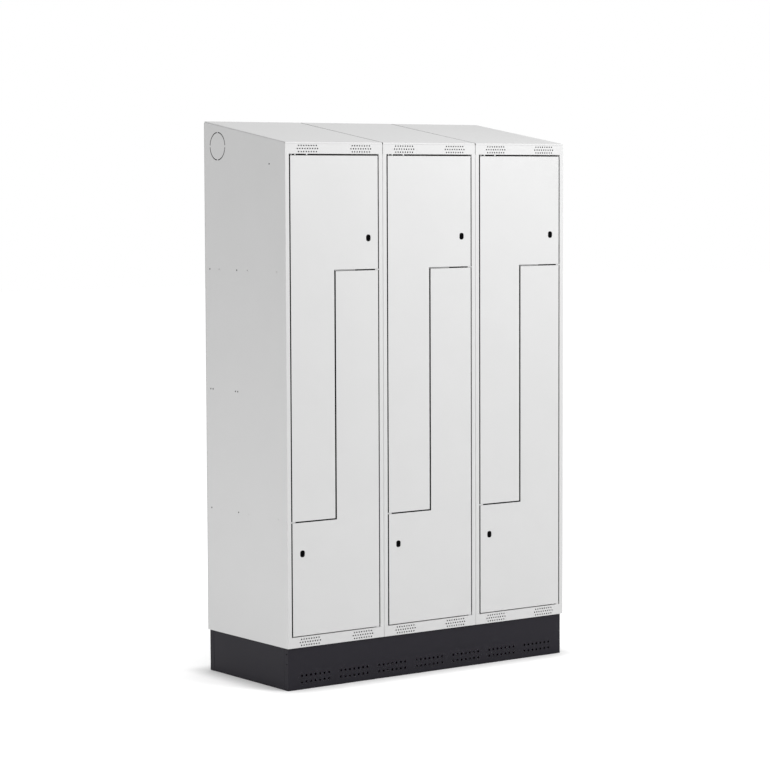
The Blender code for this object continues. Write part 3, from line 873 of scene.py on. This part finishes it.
for side, hand, outer in (("left", -1, cad_low.x), ("right", 1, cad_high.x)):
    spots = [on_side(hand, *spot) for spot in bolt_holes]
    spots.append((cad_high.y - hanging_hole[0], hanging_hole[1]))
    plugs = []
    for y, z in spots:
        face = Vector((outer - hand * plug_recess, y, z))
        inside = face - Vector((hand * plug_length, 0, 0))
        head = inside - Vector((hand * plug_head_depth, 0, 0))
        plugs.append(rod(face, inside, hole_radius - plug_play, hole_sides, plug_play))
        plugs.append(rod(inside, head, plug_head_radius, hole_sides, plug_play))
    # The plugs' black is painted shade for the holes they fill
    finish(f"{side}_hole_shade_plugs", joined(*plugs), black, "carcass", "lock_cap_plastic")
    near, far = vent_radius - vent_slot / 2 + plug_play, vent_radius + vent_slot / 2 - plug_play
    shallow, deep = -hand * plug_recess, -hand * (sheet - plug_play)
    section = ((shallow, near), (shallow, far), (deep, far), (deep, near))
    middle = Vector((outer, cad_high.y - vent_centre[0], vent_centre[1]))
    ring = lathed(section, middle, vent_ring_sides)
    # The ring's black is painted shade in the vent slots
    finish(f"{side}_vent_ring", ring, rubber, "carcass", "lock_cap_plastic")

# Pivot brackets
# Each door turns on a pin at its top and one at its bottom. The pins are riveted into brackets of 2 mm
# zinc-plated sheet, which lie on the side panels and reach out through the gaps beside the door.

bracket_sheet = 0.002
bracket_tab = 0.026
bracket_tab_step = 0.004
bracket_step_setback = 0.0045
bracket_beyond_pin = 0.008
bracket_clearance = 0.0003
pin_radius = 0.004
pin_sides = 32
pin_rounding = 0.001
zinc_grey = "#D9DCE0"
zinc_roughness = 0.3
zinc_gloss = (-0.05, 0.08)
spangle_size = 0.004
spangle_share = 0.85


def zinc_plate(name, code, roughness):
    """Bright zinc plate: blue-white metal, with the soft spangle of a barrel-plated part."""
    made, tree, shader, place = bare_finish(name)
    spangle = add(tree, "ShaderNodeTexVoronoi", {}, {"Vector": place, "Scale": 1 / spangle_size})
    tones = {"Factor": spangle.outputs["Distance"], 6: linear(code), 7: linear(code, spangle_share)}
    tone = add(tree, "ShaderNodeMix", {"data_type": "RGBA"}, tones)
    span = {"To Min": roughness + zinc_gloss[0], "To Max": roughness + zinc_gloss[1]}
    gloss = add(tree, "ShaderNodeMapRange", {}, {"Value": spangle.outputs["Distance"], **span})
    feed(shader, {"Base Color": tone.outputs[2], "Roughness": gloss.outputs["Result"], "Metallic": 1})
    return made


zinc = zinc_plate("bright zinc plate", zinc_grey, zinc_roughness)
for number in modules:
    for which, hand in (("upper", -1), ("lower", 1)):
        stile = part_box(f"{'left' if hand < 0 else 'right'}_side_{number}")
        near_stile = (stile[1].x if hand < 0 else stile[0].x) - hand * bracket_clearance
        for end, way in (("top", -1), ("bottom", 1)):
            node = f"{which}_door_{end}_pivot_{number}"
            low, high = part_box(node)
            wall, inner = (low.x, high.x) if hand < 0 else (high.x, low.x)
            tab_far, tip = (high.z, low.z) if way < 0 else (low.z, high.z)
            face = tab_far + way * (bracket_tab + bracket_sheet / 2)
            back = face - way * bracket_sheet
            route = [(inner, face), (wall, face), (wall, tab_far)]
            plate = thick_sheet(route, low.y, high.y, 1, (0, 0, way), bracket_sheet)
            # What is cut away: a notch for the stile, a slit for the partition, a step beside the nose
            above, past_wall, past_inner = face + way * overrun, wall + hand * overrun, inner - hand * overrun
            before = low.y - overrun
            notch = block(
                (near_stile, before, above),
                (past_wall, cad_low.y + stile_return + bracket_clearance, tab_far - way * overrun),
            )
            slit = block(
                (past_inner, cad_low.y + partition_setback - bracket_clearance, above),
                (past_wall, high.y + overrun, tab_far + way * (bracket_tab - bracket_tab_step)),
            )
            shoulder = block(
                (past_inner, before, above),
                (
                    near_stile - hand * pivot_nose,
                    max(low.y, cad_low.y + bracket_step_setback),
                    back - way * overrun,
                ),
            )
            plate = holed(holed(holed(plate, notch), slit), shoulder)
            spot = (inner + hand * bracket_beyond_pin, cad_low.y + pivot_depth)
            pin = rod((*spot, back), (*spot, tip), pin_radius, pin_sides, pin_rounding)
            whole = joined(plate, pin)
            finish(f"{which}_{end}_bracket_{number}", whole, zinc, "carcass", "pivot_steel", node)

# Gap fittings
# In the gap above each upper door a black nylon bush sits round the pin. Three tabs, welded to the edge
# of the fascia and coated with it, hold the bush and stop the door from lifting off. At the other three
# pivots a coated cover plate, welded to the stile or the fascia, fills most of the gap.

bush_wall = 0.0007
bush_play = 0.0004
gap_tabs = ((0.0035, 0.0025), (0.0180, 0.0040), (0.0650, 0.0045))
tab_depth = (0.0003, 0.0023)
tab_play = 0.0007
tab_rounding = 0.0003
cover_half = 0.0017
cover_play = 0.0003
cover_depth = (0.0004, 0.0044)

for number in modules:
    low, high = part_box(f"upper_door_{number}")
    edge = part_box(f"top_fascia_{number}")[0].z
    pin = Vector((low.x + pivot_inset, cad_low.y + pivot_depth, 0))
    start, end = pin + Vector((0, 0, high.z + bush_play)), pin + Vector((0, 0, edge - bush_play))
    bush = rod(start, end, pin_radius + bush_wall, pin_sides, tab_rounding)
    tool = bmesh.new()
    drill(tool, (start + end) / 2, pin_radius + bond, (0, 0, 1))
    finish(f"upper_top_bush_{number}", holed(bush, tool), black, "carcass", "lock_cap_plastic")
    tabs = []
    for across, width in gap_tabs:
        tab = block(
            (low.x + across, cad_low.y + tab_depth[0], high.z + tab_play),
            (low.x + across + width, cad_low.y + tab_depth[1], edge + sheet / 2),
            tab_rounding,
        )
        tabs.append(tab)
    finish(f"top_gap_tabs_{number}", joined(*tabs), coat, "carcass", "fascia_paint")
    foot, foot_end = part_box(f"lower_door_{number}")
    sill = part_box(f"bottom_fascia_{number}")[1].z
    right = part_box(f"right_side_{number}")[0].x
    spans = [((right - pivot_nose, foot_end.x), (sill, foot.z - cover_play))]
    for hand, stile, level in split_ends(number):
        ends = (stile - hand * cover_play, stile - hand * pivot_nose)
        spans.append((ends, (level - cover_half, level + cover_half)))
    covers = []
    for ends, levels in spans:
        cover = block(
            (ends[0], cad_low.y + cover_depth[0], levels[0]),
            (ends[1], cad_low.y + cover_depth[1], levels[1]),
            tab_rounding,
        )
        covers.append(cover)
    finish(f"pivot_covers_{number}", joined(*covers), coat, "carcass", "fascia_paint")

# Coat rails
# A drawn steel tube crosses each compartment between two pressed cups that are riveted to the sheet. Flat
# J hooks hang below it on collars.

rail_depth = 0.010
rail_radius = 0.0075
cup_radius = 0.014
cup_length = 0.006
cup_flange = 0.0013
cup_collar = 0.0098
cup_rounding = 0.0004
rivet_radius = 0.0018
rivet_flatness = 0.5
rivet_rings = (12, 8)
hook_pitch = 0.110
hook_radius = 0.011
hook_shank = 0.016
hook_bar = 0.0035
hook_width = 0.005
hook_rounding = 0.0008
hook_steps = 16
hook_segments = 3
collar_radius = 0.0092
collar_width = 0.009
round_steps = 32
tube_grey = "#C6C7C9"
tube_roughness = 0.28
tube_gloss = 0.06
draw_shares = (0.92, 1.08)
draw_length = 0.060
draw_width = 0.0006


def drawn_steel(name, code, roughness):
    """Bright drawn tube: faint streaks along it, 60 mm long, drawn 0.6 mm wide so that they show."""
    made, tree, shader, place = bare_finish(name)
    squeeze = {0: place, 1: (1 / draw_length, 1 / draw_width, 1 / draw_width)}
    along = add(tree, "ShaderNodeVectorMath", {"operation": "MULTIPLY"}, squeeze).outputs["Vector"]
    streak = add(tree, "ShaderNodeTexNoise", {}, {"Vector": along, "Scale": 1, "Detail": 3})
    dark, pale = (linear(code, share) for share in draw_shares)
    tones = {"Factor": streak.outputs["Fac"], 6: dark, 7: pale}
    tone = add(tree, "ShaderNodeMix", {"data_type": "RGBA"}, tones)
    span = {"To Min": roughness - tube_gloss, "To Max": roughness + tube_gloss}
    gloss = add(tree, "ShaderNodeMapRange", {}, {"Value": streak.outputs["Fac"], **span})
    feed(shader, {"Base Color": tone.outputs[2], "Roughness": gloss.outputs["Result"], "Metallic": 1})
    return made


def hook(spot):
    """J of flat bar below a point, open towards the back and up."""
    bm = bmesh.new()
    across, along = Vector((hook_width / 2, 0, 0)), Vector((0, hook_bar / 2, 0))
    corners = [spot - across - along, spot + across - along, spot + across + along, spot - across + along]
    top = bm.faces.new([bm.verts.new(corner) for corner in corners])
    foot = only(bmesh.types.BMFace, push(bm, [top], (0, 0, -hook_shank)))
    bmesh.ops.spin(
        bm,
        geom=foot,
        cent=spot + Vector((0, hook_radius, -hook_shank)),
        axis=(1, 0, 0),
        angle=math.pi,
        steps=hook_steps,
    )
    bmesh.ops.delete(bm, geom=foot, context="FACES_ONLY")
    bmesh.ops.recalc_face_normals(bm, faces=bm.faces)
    ease(bm, hook_rounding, hook_segments)
    return bm


def pressed_ring(outline, spot):
    """Ring turned about the rail from an outline, with its edges a little rounded."""
    ring = lathed(outline, spot, round_steps)
    ease(ring, cup_rounding, edge_segments)
    return ring


steel = drawn_steel("bright drawn steel", tube_grey, tube_roughness)
half = collar_width / 2
collar = ((-half, rail_radius), (-half, collar_radius), (half, collar_radius), (half, rail_radius))
for number in modules:
    for which in ("upper", "lower"):
        node = f"{which}_coat_rail_{number}"
        low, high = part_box(node)
        axis_y, axis_z = rail_depth, high.z - cup_radius
        start, end = Vector((low.x, axis_y, axis_z)), Vector((high.x, axis_y, axis_z))
        parts = [rod(start, end, rail_radius, round_steps, cup_rounding)]
        for spot, way in ((start, 1), (end, -1)):
            cup = (
                (0, rail_radius),
                (0, cup_radius),
                (way * cup_flange, cup_radius),
                (way * cup_flange, cup_collar + cup_flange),
                (way * 2 * cup_flange, cup_collar),
                (way * cup_length, cup_collar),
                (way * cup_length, rail_radius),
            )
            parts.append(pressed_ring(cup, spot))
            for side in (-1, 1):
                rivet = bmesh.new()
                around, upward = rivet_rings
                bmesh.ops.create_uvsphere(rivet, u_segments=around, v_segments=upward, radius=rivet_radius)
                rise = Vector((way * cup_flange, 0, side * (cup_radius + cup_collar) / 2))
                bmesh.ops.scale(rivet, verts=rivet.verts, vec=(rivet_flatness, 1, 1))
                bmesh.ops.translate(rivet, verts=rivet.verts, vec=spot + rise)
                parts.append(rivet)
        count = max(1, int((high.x - low.x) / hook_pitch))
        for x in spread(count, hook_pitch, (low.x + high.x) / 2):
            spot = Vector((x, axis_y, axis_z))
            parts += [hook(spot), pressed_ring(collar, spot)]
        whole = joined(*parts)
        finish(f"{which}_rail_with_hooks_{number}", whole, steel, "carcass", "rail_steel", node)

# Plinth
# Four folded boards of 1.5 mm sheet carry the modules. They are coated anthracite, and the front one has
# seven groups of air holes in two rows, and a pair of screw holes in each end.

plinth_sheet = 0.0015
plinth_hole_radius = 0.0041
plinth_hole_pitch = 0.0185
plinth_columns = 7
plinth_groups = 7
plinth_group_pitch = 0.161
plinth_rows = (0.0255, 0.0470)
plinth_screws = (0.090, 0.124)
plinth_screw_from_front = 0.009
anthracite = "#1B1920"
plinth_roughness = 0.55
plinth_specular = 0.18

dark_coat = powder_coat("anthracite powder coat", anthracite, plinth_roughness, plinth_specular)
for name in ("plinth_left", "plinth_right", "plinth_back"):
    coated(name, dark_coat)

low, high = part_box("plinth_front")
skirt = (0, high.y - low.y, 0)
front = (high.x, low.y, high.z)
board = pan(low, front, math.pi / 2, skirt, fold_radius, fold_segments, plinth_sheet)
tool = bmesh.new()
for group in spread(plinth_groups, plinth_group_pitch, 0):
    for x in spread(plinth_columns, plinth_hole_pitch, group):
        for z in plinth_rows:
            drill(tool, (x, low.y, z), plinth_hole_radius, (0, 1, 0))
for z in plinth_screws:
    for x in (low.x, high.x):
        drill(tool, (x, low.y + plinth_screw_from_front, z), hole_radius, (1, 0, 0))
board = holed(board, tool)
finish("plinth_vented_front", board, dark_coat, "carcass", "plinth_paint", "plinth_front")

# Studio
# The locker stands on a white floor that glows, in a pale room; near the locker the glow fades into a
# painted soft shadow round its foot. A softbox stands high in front of the doors, one hangs overhead, and
# a small one near the floor brightens the foot of the left side.

floor_size = 60.0
floor_white = "#FAFAFA"
floor_roughness = 0.9
floor_glow = 0.28
painted_shadow_reach = 0.10
room_white = "#FFFFFF"
room_light = 0.80

bpy.ops.mesh.primitive_plane_add(size=floor_size)
floor = bpy.context.object
floor.name = "studio_floor"
paper, tree, shader, place = bare_finish("white glowing floor with painted shadow")
# The glow dies out close to the locker and is nil beneath it, which paints a soft shadow round its foot
side_on = add(tree, "ShaderNodeVectorMath", {"operation": "ABSOLUTE"}, {0: place}).outputs["Vector"]
from_foot = {0: side_on, 1: (cad_high.x, cad_high.y, 0)}
beyond = add(tree, "ShaderNodeVectorMath", {"operation": "SUBTRACT"}, from_foot).outputs["Vector"]
from_zero = {0: beyond, 1: (0, 0, 0)}
outside = add(tree, "ShaderNodeVectorMath", {"operation": "MAXIMUM"}, from_zero).outputs["Vector"]
away = add(tree, "ShaderNodeVectorMath", {"operation": "LENGTH"}, {0: outside}).outputs["Value"]
ramp = {"Value": away, "From Max": painted_shadow_reach, "To Max": floor_glow}
glow = add(tree, "ShaderNodeMapRange", {"interpolation_type": "SMOOTHSTEP"}, ramp)
feed(shader, {"Base Color": linear(floor_white), "Roughness": floor_roughness, "Specular IOR Level": 0})
feed(shader, {"Emission Color": linear(floor_white), "Emission Strength": glow.outputs["Result"]})
floor.data.materials.append(paper)
floor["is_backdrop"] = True

world = bpy.data.worlds.new("pale room")
bpy.context.scene.world = world
world.use_nodes = True
tree = world.node_tree
seen = add(tree, "ShaderNodeLightPath", {}, {}).outputs["Is Camera Ray"]
bright = add(tree, "ShaderNodeMapRange", {}, {"Value": seen, "To Min": room_light, "To Max": 1})
feed(tree.nodes["Background"], {"Color": linear(room_white), "Strength": bright.outputs["Result"]})

# Each lamp's place and what it is aimed at, its width in metres and its power in watts
for name, spot, target, size, power in (
    ("front_softbox", (0.9, -2.4, 2.9), (0.1, -0.25, 1.5), 1.2, 52),
    ("overhead_softbox", (0.0, 0.5, 4.5), (0.0, 0.0, 1.9), 3.0, 18),
    ("low_fill", (-2.0, 0.0, 0.3), (-0.6, 0.0, 0.3), 0.6, 2.5),
):
    light = bpy.data.lights.new(name, "AREA")
    light.shape = "SQUARE"
    light.size = size
    light.energy = power
    lamp = bpy.data.objects.new(name, light)
    lamp.location = spot
    lamp.rotation_euler = (Vector(target) - Vector(spot)).to_track_quat("-Z", "Y").to_euler()
    bpy.context.scene.collection.objects.link(lamp)
    lamp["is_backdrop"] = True

# Camera
# A long lens, set back and to the left of the doors at about eye height, and turned a hair on its side.
# Its middle lies a little off the picture's, as a picture cut from a larger one has it.

camera_spot = (-5.3765, -7.3514, 1.6919)
camera_yaw = math.radians(36.176)
camera_pitch = math.radians(4.118)
camera_roll = math.radians(-0.211)
frame_pixels = 770
focal_pixels = 2578.7
centre_pixels = (387.33, 371.76)
sensor = 36.0

camera = bpy.data.cameras.new("camera")
camera.sensor_width = sensor
camera.lens = focal_pixels / frame_pixels * sensor
camera.shift_x = (frame_pixels / 2 - centre_pixels[0]) / frame_pixels
camera.shift_y = (centre_pixels[1] - frame_pixels / 2) / frame_pixels
shot = bpy.data.objects.new("camera", camera)
turn = (
    Matrix.Rotation(-camera_yaw, 4, "Z")
    @ Matrix.Rotation(math.pi / 2 - camera_pitch, 4, "X")
    @ Matrix.Rotation(camera_roll, 4, "Z")
)
shot.matrix_world = Matrix.Translation(camera_spot) @ turn
bpy.context.scene.collection.objects.link(shot)
bpy.context.scene.camera = shot
bpy.context.scene.view_settings.view_transform = "Standard"

low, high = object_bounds()
